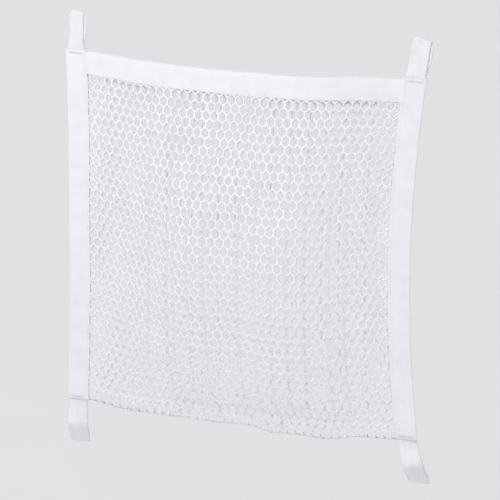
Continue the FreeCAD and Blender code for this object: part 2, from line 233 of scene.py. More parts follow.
def lip(z):
    """Half its thickness where it is sewn down, over the net, the two hems or the bottom seam."""
    over_net = PINCH + TAPE
    over_hems = (BACK - over_net) * (1 - ease((HIGH - z - HEM) / (0.3 * HEM)))
    over_seam = PRESSED_RISE * (1 - ease((z - LOW - TURNED) / TURNED))
    return over_net + over_hems + over_seam


# Meshes --------------------------------------------------------------------------------------

def make_piece(name, points, faces, material, body="bag"):
    """A smooth mesh of the given points and faces, which rides on a body if it is given one."""
    mesh = bpy.data.meshes.new(name)
    mesh.from_pydata(np.asarray(points).reshape(-1, 3).tolist(), [], faces)
    mesh.polygons.foreach_set("use_smooth", [True] * len(mesh.polygons))
    mesh.materials.append(material)
    piece = bpy.data.objects.new(name, mesh)
    bpy.context.scene.collection.objects.link(piece)
    if body:
        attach(piece, body)
    return piece


def unit(vectors):
    """The same directions, each one metre long."""
    return vectors / np.linalg.norm(vectors, axis=-1, keepdims=True)


def running_length(points):
    """Distance along a line of points, from its start."""
    steps = np.linalg.norm(np.diff(points, axis=0), axis=1)
    return np.concatenate([[0], np.cumsum(steps)])


def evenly(points, count):
    """A line of points again, with a number of evenly spaced ones."""
    along = running_length(points)
    places = np.linspace(0, along[-1], count)
    return np.stack([np.interp(places, along, column) for column in points.T], axis=1)


def smooth_line(points, count):
    """A Catmull-Rom curve through a few points, as a number of evenly spaced ones."""
    ends = [2 * points[0] - points[1], 2 * points[-1] - points[-2]]
    line = np.vstack([ends[0], points, ends[1]])
    fine = []
    for a, b, c, d in zip(line, line[1:], line[2:], line[3:]):
        for t in np.linspace(0, 1, 12, endpoint=False):
            fine.append(((2 * b) + (c - a) * t + (2 * a - 5 * b + 4 * c - d) * t ** 2
                         + (3 * b - a - 3 * c + d) * t ** 3) / 2)
    return evenly(np.array(fine + [points[-1]]), count)


def slow_noise(places, wavelength, strength):
    """Soft seeded waves along a line, as cloth has where it was sewn."""
    knots = np.arange(places.min() - wavelength, places.max() + 2 * wavelength, wavelength)
    heights = random.uniform(-strength, strength, len(knots))
    share = (places - knots[0]) / wavelength
    k = np.clip(share.astype(int), 0, len(knots) - 2)
    turned = ease(share - k)
    return heights[k] * (1 - turned) + heights[k + 1] * turned


def loft(name, rings, across, material, body="bag"):
    """A closed skin over rings of points, with cloth coordinates in metres along and across it."""
    count, around = rings.shape[:2]
    start = np.arange(count - 1)[:, None] * around
    k = np.arange(around)
    after = (k + 1) % around
    quads = np.stack([start + k, start + after, start + around + after, start + around + k], axis=-1)
    faces = quads.reshape(-1, 4).tolist()
    faces.append(list(range(around))[::-1])
    faces.append(list(range((count - 1) * around, count * around)))
    piece = make_piece(name, rings, faces, material, body)

    # The two end caps are flat, so that they don't darken the cloth beside them
    for cap in piece.data.polygons[-2:]:
        cap.use_smooth = False

    along = running_length(rings.mean(axis=1))
    cloth = np.stack([np.repeat(along, around), np.tile(across, count)], axis=1)
    corners = np.zeros(len(piece.data.loops), int)
    piece.data.loops.foreach_get("vertex_index", corners)
    layer = piece.data.uv_layers.new(name="cloth")
    layer.data.foreach_set("uv", cloth[corners].astype(np.float32).ravel())
    return piece


def threads(name, starts, ends, out, material, radius=STITCH_RADIUS):
    """Stitches: short rounded threads from each start to each end, arched away from the cloth."""
    sides = 6
    along = ends - starts

    # At shares of its length, a stitch's lift off the cloth and its girth
    steps = np.array([0, 0.1, 0.3, 0.5, 0.7, 0.9, 1])
    lift = np.array([-0.6, 0.3, 0.9, 1, 0.9, 0.3, -0.6]) * radius
    girth = np.array([0.55, 0.95, 1.05, 1.05, 1.05, 0.95, 0.55]) * radius

    across = unit(np.cross(along, out))
    up = unit(np.cross(across, along))
    turn = np.arange(sides) * math.tau / sides
    ring = np.cos(turn)[:, None, None] * across + np.sin(turn)[:, None, None] * up
    points = (starts[:, None, None] + along[:, None, None] * steps[None, :, None, None]
              + up[:, None, None] * lift[None, :, None, None]
              + ring.transpose(1, 0, 2)[:, None] * girth[None, :, None, None])
    faces = []
    rings = len(steps)
    for first in np.arange(len(starts)) * rings * sides:
        for r in range(rings - 1):
            for s in range(sides):
                a = first + r * sides + s
                b = first + r * sides + (s + 1) % sides
                faces.append((a, b, b + sides, a + sides))
        faces.append([first + s for s in range(sides)][::-1])
        faces.append([first + (rings - 1) * sides + s for s in range(sides)])
    return make_piece(name, points, faces, material)


# Materials -----------------------------------------------------------------------------------

def shader(name, sheen):
    """A new dull material: the material, its nodes, its links and its shader."""
    material = bpy.data.materials.new(name)
    material.use_nodes = True
    nodes, links = material.node_tree.nodes, material.node_tree.links
    surface = nodes["Principled BSDF"]
    surface.inputs["Sheen Weight"].default_value = sheen
    surface.inputs["Sheen Roughness"].default_value = 0.5
    surface.inputs["Specular IOR Level"].default_value = 0.25
    return material, nodes, links, surface


def math_node(nodes, links, operation, first, second=None):
    """The result of an operation on one or two numbers or sockets."""
    node = nodes.new("ShaderNodeMath")
    node.operation = operation
    for socket, source in zip(node.inputs, (first, second)):
        if source is None:
            continue
        if isinstance(source, (int, float)):
            socket.default_value = source
        else:
            links.new(source, socket)
    return node.outputs[0]


def noise_node(nodes, links, scale, detail):
    """Soft noise that is fixed to the object, with a number of lumps to the metre."""
    node = nodes.new("ShaderNodeTexNoise")
    node.inputs["Scale"].default_value = scale
    node.inputs["Detail"].default_value = detail
    links.new(nodes.new("ShaderNodeTexCoord").outputs["Object"], node.inputs["Vector"])
    return node.outputs["Fac"]


def tint(nodes, links, surface, factor, dark, light):
    """The colour runs from dark to light with a factor."""
    ramp = nodes.new("ShaderNodeValToRGB")
    for element, position, colour in zip(ramp.color_ramp.elements, (0.3, 0.7), (dark, light)):
        element.position = position
        element.color = (*colour, 1)
    links.new(factor, ramp.inputs["Fac"])
    links.new(ramp.outputs["Color"], surface.inputs["Base Color"])


def bump(nodes, links, surface, height, distance):
    """Fine relief, where a height of 1 stands a distance proud."""
    node = nodes.new("ShaderNodeBump")
    node.inputs["Distance"].default_value = distance
    node.inputs["Strength"].default_value = 1
    links.new(height, node.inputs["Height"])
    links.new(node.outputs["Normal"], surface.inputs["Normal"])


def woven(name, dark, light, rib, pick, depth, sheen):
    """Woven cloth: ribs of warp along the piece, crossed by the picks of the weft."""
    material, nodes, links, surface = shader(name, sheen)
    uv = nodes.new("ShaderNodeUVMap")
    uv.uv_map = "cloth"
    split = nodes.new("ShaderNodeSeparateXYZ")
    links.new(uv.outputs["UV"], split.inputs["Vector"])

    def wave(axis, pitch):
        turns = math_node(nodes, links, "MULTIPLY", split.outputs[axis], math.tau / pitch)
        return math_node(nodes, links, "SINE", turns)

    warp, weft = wave("Y", rib), wave("X", pick)
    over = math_node(nodes, links, "MULTIPLY", wave("Y", 2 * rib), wave("X", 2 * pick))
    weave = math_node(nodes, links, "ADD", warp, math_node(nodes, links, "MULTIPLY", weft, 0.5))
    weave = math_node(nodes, links, "ADD", weave, over)
    fuzz = noise_node(nodes, links, scale=4200, detail=2)
    height = math_node(nodes, links, "ADD", weave, fuzz)
    bump(nodes, links, surface, height, depth)
    patches = noise_node(nodes, links, scale=55, detail=5)
    shade = math_node(nodes, links, "MULTIPLY", weave, 0.05)
    shade = math_node(nodes, links, "ADD", shade, patches)
    tint(nodes, links, surface, shade, dark, light)
    rough = math_node(nodes, links, "MULTIPLY", fuzz, 0.25)
    rough = math_node(nodes, links, "ADD", rough, 0.7)
    links.new(rough, surface.inputs["Roughness"])
    return material


def yarn(name, dark, light, scale, depth, sheen, roughness):
    """Knitted or sewn yarn: soft fibres that let some light through, and a slow drift of colour."""
    material, nodes, links, surface = shader(name, sheen)
    surface.inputs["Roughness"].default_value = roughness
    surface.inputs["Subsurface Weight"].default_value = 0.6
    surface.inputs["Subsurface Radius"].default_value = (1, 1, 1)
    surface.inputs["Subsurface Scale"].default_value = 1 * MM
    fibres = noise_node(nodes, links, scale, detail=4)
    bump(nodes, links, surface, fibres, depth)
    drift = noise_node(nodes, links, scale=40, detail=4)
    both = math_node(nodes, links, "ADD", math_node(nodes, links, "MULTIPLY", fibres, 0.5),
                     math_node(nodes, links, "MULTIPLY", drift, 0.5))
    tint(nodes, links, surface, both, dark, light)
    return material


tape_cloth = woven("tape_cloth", dark=(0.82, 0.81, 0.85), light=(0.88, 0.87, 0.91),
                   rib=0.9 * MM, pick=0.7 * MM, depth=0.06 * MM, sheen=0.25)
webbing_cloth = woven("webbing_cloth", dark=(0.85, 0.83, 0.87), light=(0.94, 0.92, 0.96),
                      rib=1.7 * MM, pick=0.8 * MM, depth=0.14 * MM, sheen=0.2)
net_yarn = yarn("net_yarn", dark=(0.77, 0.76, 0.80), light=(0.88, 0.86, 0.90),
                scale=2600, depth=0.12 * MM, sheen=0.3, roughness=0.7)
sewing_thread = yarn("sewing_thread", dark=(0.82, 0.81, 0.84), light=(0.93, 0.92, 0.95),
                     scale=5200, depth=0.05 * MM, sheen=0.1, roughness=0.5)


# Net -----------------------------------------------------------------------------------------

def panel_grid(rows, columns, depth):
    """Points of a net panel, evenly spaced along its own cloth, from seam to hem, left to right.

    depth gives the panel's place in Y at each x and z.
    """
    top = HEM / 6                  # from the hem's fold down to the net's edge inside it
    up = np.linspace(0, 1, rows)[:, None]
    across = np.linspace(0, 1, columns)[None, :]
    x = outer["left"](MIDDLE) * (1 - across) + outer["right"](MIDDLE) * across + 0 * up
    up = up + 0 * x
    across = across + 0 * x
    for _ in range(4):             # each round brings the points closer to even spacing
        z = bottom(x) * (1 - up) + (hem_top(x) + droop_front(x) - top) * up
        left = outer["left"](z) + TAPE
        right = outer["right"](z) - TAPE
        x = left * (1 - across) + right * across
        points = np.stack([x, depth(x, z), z], axis=-1)
        across = np.array([even_share(line, share) for line, share in zip(points, across)])
        columns_first = points.transpose(1, 0, 2)
        up = np.array([even_share(line, share) for line, share in zip(columns_first, up.T)]).T
    return points


def even_share(line, share):
    """Shares along a line changed so that its points come to be evenly spaced."""
    along = running_length(line)
    return np.interp(np.linspace(0, along[-1], len(line)), along, share)


def read_grid(grid, across, up):
    """Points and outward normals of a grid of points, at shares of its width and height."""
    # Stop just short of the last row and column, so that there is always a next one to mix with
    rows, columns = grid.shape[:2]
    i = np.clip(up * (rows - 1), 0, rows - 1.0001)
    j = np.clip(across * (columns - 1), 0, columns - 1.0001)
    i0, j0 = i.astype(int), j.astype(int)
    s, t = (i - i0)[..., None], (j - j0)[..., None]

    def mix(values):
        low = values[i0, j0] * (1 - t) + values[i0, j0 + 1] * t
        high = values[i0 + 1, j0] * (1 - t) + values[i0 + 1, j0 + 1] * t
        return low * (1 - s) + high * s

    normals = unit(np.cross(np.gradient(grid, axis=1), np.gradient(grid, axis=0)))
    return mix(grid), unit(mix(normals))


def inset_corners(inset):
    """Three corners of a long hexagon inset from a cell's threads: top, upper right, lower right."""
    rise, half = ROW - UPRIGHT, CELL / 2
    slant = math.hypot(rise, half)
    tip = UPRIGHT / 2 + rise - inset * slant / half
    side = half - inset
    shoulder = tip - side * rise / half
    return np.array([(0, tip), (side, shoulder), (side, -shoulder)])


def cell_outline():
    """Twelve points round a cell along its threads' middles, and the rounded hole inside them."""
    # A hole's corners are drawn in and its sides pushed out, which rounds it
    rings = []
    for inset, corner, middle in ((0, 1, 1), (THREAD / 2, 0.95, 1.02)):
        three = inset_corners(inset)
        six = np.vstack([three, -three])
        middles = (six + np.roll(six, -1, axis=0)) / 2
        rings.append(np.stack([six * corner, middles * middle], axis=1).reshape(12, 2))
    return rings


def cell_centres(width, height, phase):
    """Centres of every cell that reaches into a panel, in rows that lie half a cell apart."""
    outline = cell_outline()[0]
    half, tip = outline.max(axis=0)
    centres = []
    for row in range(-1, int(height / ROW) + 2):
        z = ROW * (row + phase)
        if z + tip < THREAD / 3 or z - tip > height - THREAD / 3:
            continue
        first = half * (1 + row % 2)
        centres += [(x, z) for x in np.arange(first, width - half + GRAIN, CELL)]
    return np.array(centres)


def net_faces(shared, count):
    """The net's faces: rings from the threads' middles down to the holes, and round the outer rim.

    shared gives each cell's twelve points among the count of points along the threads' middles.
    """
    front_slope = 2 * count + np.arange(shared.size).reshape(shared.shape)
    back_slope = front_slope + shared.size
    hole_edge = back_slope + shared.size
    faces = []
    for ridge, slope, turn in ((shared, front_slope, 1), (shared + count, back_slope, -1)):
        for a, b in ((ridge, slope), (slope, hole_edge)):
            quads = np.stack([a, np.roll(a, -1, axis=1), np.roll(b, -1, axis=1), b], axis=-1)
            faces.append(quads.reshape(-1, 4)[:, ::turn])
    pairs = np.stack([shared, np.roll(shared, -1, axis=1)], axis=-1).reshape(-1, 2)
    _, where, uses = np.unique(np.sort(pairs, axis=1), axis=0, return_inverse=True, return_counts=True)
    rim = pairs[uses[where.ravel()] == 1]
    faces.append(np.concatenate([rim[:, ::-1], rim + count], axis=1))
    return np.vstack(faces)


def lattice(width, height, phase):
    """A flat net: points with their height off the cloth's middle, and the faces between them.

    A thread runs along its lower and upper edge, where the net is folded or cut.
    """
    outline, hole = cell_outline()
    centres = cell_centres(width, height, phase)
    corners = np.round((centres[:, None] + outline).reshape(-1, 2) / GRAIN).astype(int)
    knots, shared = np.unique(corners, axis=0, return_inverse=True)
    shared = shared.reshape(len(centres), -1)

    # Points in the flat, each a little out of place: along the threads' middles, on both of their
    # shoulders and round the holes
    ridge = knots * GRAIN + random.normal(0, KNOT_SCATTER, knots.shape)
    edge = centres[:, None] + hole * random.normal(1, HOLE_SCATTER, (len(centres), 1, 1))
    shoulder = ridge[shared] * (1 - SHOULDER) + edge * SHOULDER
    for points, margin in ((ridge, 0), (shoulder, THREAD / 4), (edge, THREAD / 2)):
        points[..., 1] = np.clip(points[..., 1], margin, height - margin)
    edge, shoulder = edge.reshape(-1, 2), shoulder.reshape(-1, 2)
    flat = np.vstack([ridge, ridge, shoulder, shoulder, edge])

    # How far each one stands off the cloth's middle, on its front and on its back
    rise = np.full(len(knots), NET_RISE)
    rise[shared[:, ::2]] = KNOT_RISE
    slope = np.full(len(shoulder), SHOULDER_RISE)
    lift = np.concatenate([rise, -rise, slope, -slope, 0 * slope])
    return flat, lift, net_faces(shared, len(knots))


def cut_size(grid):
    """Width and height that a panel was cut to, from its middle row and column of points."""
    return running_length(grid[len(grid) // 2])[-1], running_length(grid[:, grid.shape[1] // 2])[-1]


def make_net(name, grid, cut, phase):
    """A panel of net of the size that it was cut to, laid over a grid of points."""
    flat, lift, faces = lattice(*cut, phase)
    points, normals = read_grid(grid, *(flat / cut).T)
    return make_piece(name, points + normals * lift[:, None], faces.tolist(), net_yarn)


def from_seams(x, z):
    """Distance of a point of a panel from the nearest side binding's free edge."""
    return np.minimum(x - inner["left"](z), inner["right"](z) - x)


def sewn_depth(x, z):
    """Depth of a net inside a side binding or the bottom seam, in front of or behind y = 0."""
    inside = stack(z) - TAPE - NET_RISE
    pressed = PINCH - PRESSED_RISE
    return pressed + (inside - pressed) * ease(-from_seams(x, z) / NARROWING)


def front_depth(x, z):
    """The middle of the front net: the CAD's bulge, drawn in where it is sewn."""
    hits = [probe("mesh_front", (a, -FAR, b), (0, 1, 0)) for a, b in zip(x.ravel(), z.ravel())]
    bulge = np.reshape([hit.y + NET_RISE if hit else FRONT + TAPE for hit in hits], x.shape)
    inside = ease(from_seams(x, z) / FLAT_SIDES) * ease((z - bottom(x) - SEAM_RISE) / FLAT_BOTTOM)
    sewn = -sewn_depth(x, z)
    return sewn + (np.minimum(bulge, sewn) - sewn) * inside


def back_depth(x, z):
    """The back net hangs flat, with slow ripples that fade out at the seams."""
    free = np.clip(from_seams(x, z) / RIPPLE_FADE, 0, 1)
    slow = np.sin(x / (47 * MM) + 0.7) * np.sin(z / (61 * MM))
    slanting = np.sin((x - 0.7 * z) / (23 * MM))
    sewn = sewn_depth(x, z)
    return sewn + (NET_BACK - sewn + RIPPLE * (slow + 0.5 * slanting)) * free


def grid_faces(rows, columns, closed):
    """The four-sided faces between rows of points, which may close up into a tube."""
    k = np.arange(rows * columns).reshape(rows, columns)
    if closed:
        k = np.vstack([k, k[:1]])
    return np.stack([k[:-1, :-1], k[:-1, 1:], k[1:, 1:], k[1:, :-1]], axis=-1).reshape(-1, 4).tolist()


SHOE_MIDDLES = (-31 * MM, 51 * MM)
SHOE_HALF_WIDTH = 40 * MM
SHOE_DEPTH = 53 * MM               # at its heel
SHOE_TOE_DEPTH = 0.6 * SHOE_DEPTH
SHOE_SQUARENESS = 2.6              # power of its outline, where 2 is an ellipse
SHOE_TOE = LOW + 16 * MM
SHOE_HEEL = MIDDLE + 78 * MM
SETTLING = 30                      # frames until the net has come to rest
SMOOTHING = 5                      # rounds that even out the creases left by coarse cloth


def helper_mesh(name, grid, closed=False):
    """A plain surface that takes part in the cloth simulation only."""
    mesh = bpy.data.meshes.new(name)
    mesh.from_pydata(grid.reshape(-1, 3).tolist(), [], grid_faces(*grid.shape[:2], closed))
    helper = bpy.data.objects.new(name, mesh)
    bpy.context.scene.collection.objects.link(helper)
    return helper


def make_shoe(middle):
    """A rounded mass for the net to lie on, its flatter toe at the bottom of the bag and its heel up."""
    up, turn = np.meshgrid(np.linspace(-1, 1, 40), np.linspace(0, math.tau, 48, endpoint=False))
    girth = np.sqrt(1 - np.abs(up) ** SHOE_SQUARENESS)
    x = middle + SHOE_HALF_WIDTH * girth * np.cos(turn)
    depth = (SHOE_TOE_DEPTH + SHOE_DEPTH) / 2 + (SHOE_DEPTH - SHOE_TOE_DEPTH) / 2 * up
    y = -depth * girth * np.sin(turn)
    z = (SHOE_TOE + SHOE_HEEL) / 2 + (SHOE_HEEL - SHOE_TOE) / 2 * up
    shoe = helper_mesh("shoe", np.stack([x, y, z], axis=-1), closed=True)
    shoe.modifiers.new("Collision", "COLLISION")
    shoe.collision.thickness_outer = 1 * MM
    shoe.collision.cloth_friction = 5
    return shoe


def make_cloth(panel, held):
    """Set a panel up as light net that shrinks a little taut and is sewn fast at the held points."""
    pins = panel.vertex_groups.new(name="sewn")
    pins.add(np.flatnonzero(held).tolist(), 1.0, "REPLACE")
    cloth = panel.modifiers.new("Cloth", "CLOTH")
    cloth.settings.vertex_group_mass = "sewn"
    cloth.settings.quality = 7
    cloth.settings.mass = 0.1
    cloth.settings.tension_stiffness = 20
    cloth.settings.compression_stiffness = 20
    cloth.settings.shear_stiffness = 6
    cloth.settings.bending_stiffness = 2
    cloth.settings.shrink_min = 0.04
    cloth.collision_settings.distance_min = 1 * MM
    cloth.collision_settings.collision_quality = 4
    cloth.collision_settings.use_self_collision = False
    cloth.point_cache.frame_end = SETTLING


def drape(grid):
    """The front net drawn taut over a pair of shoes by a short cloth simulation."""
    shoes = [make_shoe(middle) for middle in SHOE_MIDDLES]
    panel = helper_mesh("panel", grid)
    x, z = grid[..., X], grid[..., Z]
    at_sides = from_seams(x, z) < 2 * MM
    held = at_sides | (z > hem_low(x) + droop_front(x)) | (z < bottom(x) + SEAM_RISE + MM)
    make_cloth(panel, held)
    for step in range(SETTLING):
        bpy.context.scene.frame_set(step + 1)
    shaped = panel.evaluated_get(bpy.context.evaluated_depsgraph_get()).to_mesh()
    settled = np.zeros(grid.size, np.float32)
    shaped.vertices.foreach_get("co", settled)
    bpy.context.scene.frame_set(1)
    for helper in (panel, *shoes):
        bpy.data.objects.remove(helper)
    shift = settled.reshape(grid.shape) - grid
    for _ in range(SMOOTHING):
        around = shift[:-2, 1:-1] + shift[2:, 1:-1] + shift[1:-1, :-2] + shift[1:-1, 2:]
        shift[1:-1, 1:-1] = shift[1:-1, 1:-1] / 3 + around / 6
        shift[held] = 0
    return grid + shift


def turned_grid():
    """The nets' raw edges, turned in along the bottom and pressed against the front panel."""
    x = np.linspace(outer["left"](LOW) + TAPE, outer["right"](LOW) - TAPE, 120)
    rise = np.linspace(0, TURNED, 4)[:, None]
    return np.stack([x + 0 * rise, 0 * x + 0 * rise - PINCH / 2, bottom(x) + rise], axis=-1)


PANEL_POINTS = 72                  # points across and up a panel
FRONT_PHASE = 0.15                 # how far up a panel its first whole row of cells lies, in rows
BACK_PHASE = 0.6
EDGE_PHASE = 0.5
front_grid = panel_grid(PANEL_POINTS, PANEL_POINTS, front_depth)
back_grid = panel_grid(PANEL_POINTS, PANEL_POINTS, back_depth)
edge_grid = turned_grid()
front_cut, back_cut, edge_cut = (cut_size(grid) for grid in (front_grid, back_grid, edge_grid))
front_grid = drape(front_grid)
net_front = make_net("net_front", front_grid, front_cut, FRONT_PHASE)
net_back = make_net("net_back", back_grid, back_cut, BACK_PHASE)
net_turned = make_net("net_turned_edge", edge_grid, edge_cut, EDGE_PHASE)
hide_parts("mesh_front")
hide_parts("mesh_back")


# Tape ----------------------------------------------------------------------------------------

def fold_profile(width, half_depth, thickness):
    """A tape folded in half lengthwise: reach in from the fold, depth, and place across the tape."""
    reaches = np.array([1, 0.97, 0.89, 0.8, 0.62, 0.42, 0.24])     # shares of the tape's width
    turn = np.linspace(0, math.pi, 9)
    rings = []
    for depth in (half_depth, half_depth - thickness):
        line = width * reaches[reaches * width > half_depth]
        front = np.stack([line, np.full(len(line), depth)], axis=1)
        round_end = np.stack([half_depth - depth * np.sin(turn), depth * np.cos(turn)], axis=1)
        back = front[::-1] * (1, -1)
        rings.append(np.vstack([front, round_end, back]))
    outside, inside = rings
    across = running_length(outside)
    free_edge = np.array([[width + thickness / 3, half_depth - thickness / 2]])
    ring = np.vstack([outside, free_edge * (1, -1), inside[::-1], free_edge])
    place = np.concatenate([across, across[-1:], across[::-1], across[:1]])
    return ring, place


def facing(edge, inward):
    """Directions out of the front of a tape that runs along an edge."""
    front = unit(np.cross(inward, np.gradient(edge, axis=0)))
    return front * -np.sign(front[:, 1:2])


def make_tape(name, edge, inward, depths, lips, width, nodes_replaced):
    """A folded tape along a line of points at its fold, with the slight waves of its sewing.

    depths are half the tape's folded thickness at each point of the line, and lips the same at the
    two free edges, where it is sewn down.
    """
    along = running_length(edge)
    front = facing(edge, inward)
    half_depth = depths.max()
    ring, place = fold_profile(width, half_depth, TAPE)
    share = np.clip((ring[:, 0] - half_depth) / (width - half_depth), 0, 1)
    free = share ** 3
    seam_dip = SEAM_PULL * np.exp(-((width - ring[:, 0] - STITCH_INSET) / SEAM_SPREAD) ** 2)
    sides = np.sign(ring[:, 1])
    waves = [slow_noise(along, wavelength=9 * MM, strength=0.2 * MM) for _ in range(2)]
    sway = slow_noise(along, wavelength=40 * MM, strength=0.25 * MM)
    wave = np.where(sides > 0, waves[0][:, None], waves[1][:, None]) * free
    depth = ring[:, 1] - sides * seam_dip + wave
    depth = depth + sides * ((depths - half_depth)[:, None] * np.abs(ring[:, 1]) / half_depth
                             + (lips - depths)[:, None] * share ** LIP_CURVE)
    drift = slow_noise(along, wavelength=25 * MM, strength=0.3 * MM)
    reach = ring[:, 0] + drift[:, None] * share
    rings = (edge[:, None] + inward[:, None] * (reach + sway[:, None])[..., None]
             + front[:, None] * depth[..., None])
    piece = loft(name, rings, place, tape_cloth)
    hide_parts(*nodes_replaced)
    return piece


def sewn_line(name, edge, inward, reach, depths, nodes_replaced):
    """A row of stitches at a reach from an edge, on the front and the back of the cloth."""
    path = edge + inward * reach
    line = evenly(path, round(running_length(path)[-1] / STITCH) + 1)
    front = facing(line, np.tile(inward[0], (len(line), 1)))
    along = running_length(line)
    depth = np.interp(along, np.linspace(0, along[-1], len(depths)), depths)[:, None]
    half_stitch = unit(np.gradient(line, axis=0)) * STITCH * STITCH_SHARE / 2
    outs = np.vstack([front, -front])
    middles = np.vstack([line, line]) + outs * np.vstack([depth, depth])
    halves = np.vstack([half_stitch, half_stitch])
    piece = threads(name, middles - halves, middles + halves, outs, sewing_thread)
    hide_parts(*nodes_replaced)


def make_binding(side):
    """A side binding with its stitches, along the edge of the bag."""
    levels = np.linspace(LOW, HIGH, 150)
    edge = np.stack([outer[side](levels), 0 * levels, levels], axis=1)
    inward = np.tile([-float(SIDES[side]), 0, 0], (len(levels), 1))
    width = abs(float(outer[side](MIDDLE) - inner[side](MIDDLE)))
    folds, lips = stack(levels), lip(levels)
    make_tape("binding_" + side, edge, inward, folds, lips, width, ["side_binding_" + side])
    sewn_line("stitches_binding_" + side, edge, inward, width - STITCH_INSET, lips,
              ["binding_stitch_" + side])


def make_hem(face):
    """A hem, whose ends are tucked in under the bindings."""
    places = np.linspace(-HALF_HEM - TUCK, HALF_HEM + TUCK, 140)
    under = ease((np.abs(places) - HALF_HEM + 3 * MM) / TUCK)
    if face == "front":
        y, droop = hem_front(places) + HALF_FOLD, droop_front(places)
    else:
        y, droop = 0 * places + HEM_MID, droop_back(places)
    y = y * (1 - 0.2 * under)      # drawn in towards the middle where the binding covers it
    edge = np.stack([places, y, hem_top(places) + droop], axis=1)
    inward = np.tile([0.0, 0.0, -1.0], (len(places), 1))
    depths = HALF_FOLD * (1 - 0.5 * under)         # and pressed flatter there
    piece = make_tape("hem_tape_" + face, edge, inward, depths, depths, HEM, ["hem_" + face])
    sewn_line("stitches_hem_" + face, edge, inward, HEM - STITCH_INSET, depths, ["hem_stitch_" + face])
    return piece


for side in SIDES:
    make_binding(side)
hems = {face: make_hem(face) for face in ("front", "back")}


# Webbing loops -------------------------------------------------------------------------------

def strap_section(width, thickness):
    """A flat strap's outline: across and depth, a little thinner at its selvedges."""
    half = np.linspace(-1, 1, 15)
    swell = thickness / 2 * (1 - SELVEDGE * np.abs(half) ** 6)
    face = np.stack([half * width / 2, swell], axis=1)
    ring = np.vstack([face, face[::-1] * (1, -1)])
    place = np.concatenate([face[:, 0], face[::-1, 0]])
    return ring, place


def width_kept(distance, tip, cover, twist):
    """Share of its width that a strap keeps at a distance out from its bend.

    It is drawn in under the tape, which starts at cover inside the bend. It is also drawn in where
    its twist starts, and at its tip.
    """
    covered = ease((-distance - cover) / GATHERING)
    creased = (1 - math.cos(math.radians(twist))) * ease(1 - distance / (SLIP_REACH * tip))
    folded = np.exp(-((tip - distance) / GATHERING) ** 2)
    return 1 - np.maximum(SEWN_GATHER * covered, creased) - FOLD_GATHER * folded


def strap_path(end, side, bend, out, line, twist, slip):
    """A strap's middle line, and its directions up the loop, across it and out of its face."""
    distance, depth = line[:, :1], line[:, 1:]
    tip = distance.max()
    upright = np.array([0, 0, float(ENDS[end])])

    # Inside the binding the strap runs upright in the middle of the tape, and outside it along out
    inside = ease(-distance / (TURNING / 2))
    heading = unit(out * ease(1 + distance / TURNING) + upright * ease(-distance / TURNING))
    middle = bend + np.maximum(distance, 0) * out + np.minimum(distance, 0) * upright
    strip = (outer[side](middle[:, Z]) + inner[side](middle[:, Z])) / 2 - middle[:, X]
    middle[:, X] += strip * inside[:, 0]

    # Outside it turns about its own length, and past the tip its rear run slips to one side
    turn = math.radians(twist) * ease((distance + TURNING / 2) / (TWIST_REACH * tip))
    backwards = np.array([0, 1.0, 0])
    level = unit(np.cross(backwards, heading)) * ENDS[end]
    sideways = np.cos(turn) * level - np.sin(turn) * backwards
    rearwards = np.cos(turn) * backwards + np.sin(turn) * level
    past_tip = np.linspace(-0.5, 0.5, len(line))[:, None]
    rear = ease(past_tip / ROUND_TIP + 0.5) * ease(distance / (SLIP_REACH * tip))
    middle = middle + depth * rearwards + slip * MM * rear * sideways
    face = unit(np.cross(sideways, np.gradient(middle, axis=0)))
    return middle, heading, sideways, face


def make_loop(end, side, line, twist, slip, bias):
    """One length of webbing: out of the binding, round the loop's tip and back in again.

    line is the strap's middle line, as distance out from the bend and depth. twist is the angle in
    degrees by which the loop turns about its own length, slip how far in millimetres its rear run
    lies to one side, and bias the angle in degrees of the fold at its tip.
    """
    name = "loop_%s_%s" % (end, side)
    joint = next(j for j in frame["joints"] if j["child"] == name)
    mount = next(m for m in frame["record"]["mounts"] if m["name"] == name + "_eye")
    bend = np.array(joint["pos_m"])
    out = unit(np.array(mount["pos_m"]) - bend)
    middle, heading, sideways, face = strap_path(end, side, bend, out, line, twist, slip)

    distance = line[:, :1]
    tip = distance.max()
    ring, place = strap_section(WEBBING_WIDTH, WEBBING)
    across = ring[None, :, :1]
    kept = width_kept(distance, tip, abs(bend[Z] - BINDING_END[end]), twist)
    slant = math.tan(math.radians(bias)) * ease((distance / tip - BIAS_START) / (1 - BIAS_START))
    rings = (middle[:, None] + sideways[:, None] * across * kept[:, None]
             + heading[:, None] * across * slant[:, None] + face[:, None] * ring[None, :, 1:])
    piece = loft(name + "_webbing", rings, place, webbing_cloth, body=None)
    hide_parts(name, "loop_tail_%s_%s" % (end, side))
    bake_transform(piece)


def there_and_back(reach, *run):
    """A strap's smooth middle line, from its tail up a run to its tip and back down to its tail.

    The run's points are distance out from the bend, depth and half opening, in millimetres.
    """
    tail = [(-TAIL / MM, 0, 0.45), (-6, 0, 0.45)]
    front = [(distance, depth - opening) for distance, depth, opening in tail + list(run)]
    back = [(distance, depth + opening) for distance, depth, opening in tail + list(run)]
    tip = (reach, run[-1][1])
    return smooth_line(np.array([*front, tip, *back[::-1]]) * MM, STRAP_POINTS)


flat_loop = there_and_back(34.8, (3, 0, 0.5), (10, 0.2, 0.55), (20, 0, 0.6), (28, -0.2, 0.65),
                           (33.8, 0, 0.7))
limp_loop = there_and_back(40.8, (3, -0.8, 0.5), (9, -3.5, 0.55), (15, -6, 0.55), (19.5, -6.3, 0.55),
                           (25, -3.7, 0.55), (32, 0.8, 0.6), (39.2, 5.3, 0.6))
make_loop("top", "left", flat_loop, twist=25, slip=3.8, bias=0)
make_loop("top", "right", flat_loop, twist=12, slip=3.2, bias=0)
make_loop("bottom", "left", limp_loop, twist=-14, slip=0, bias=5)
make_loop("bottom", "right", limp_loop, twist=-12, slip=0, bias=19)


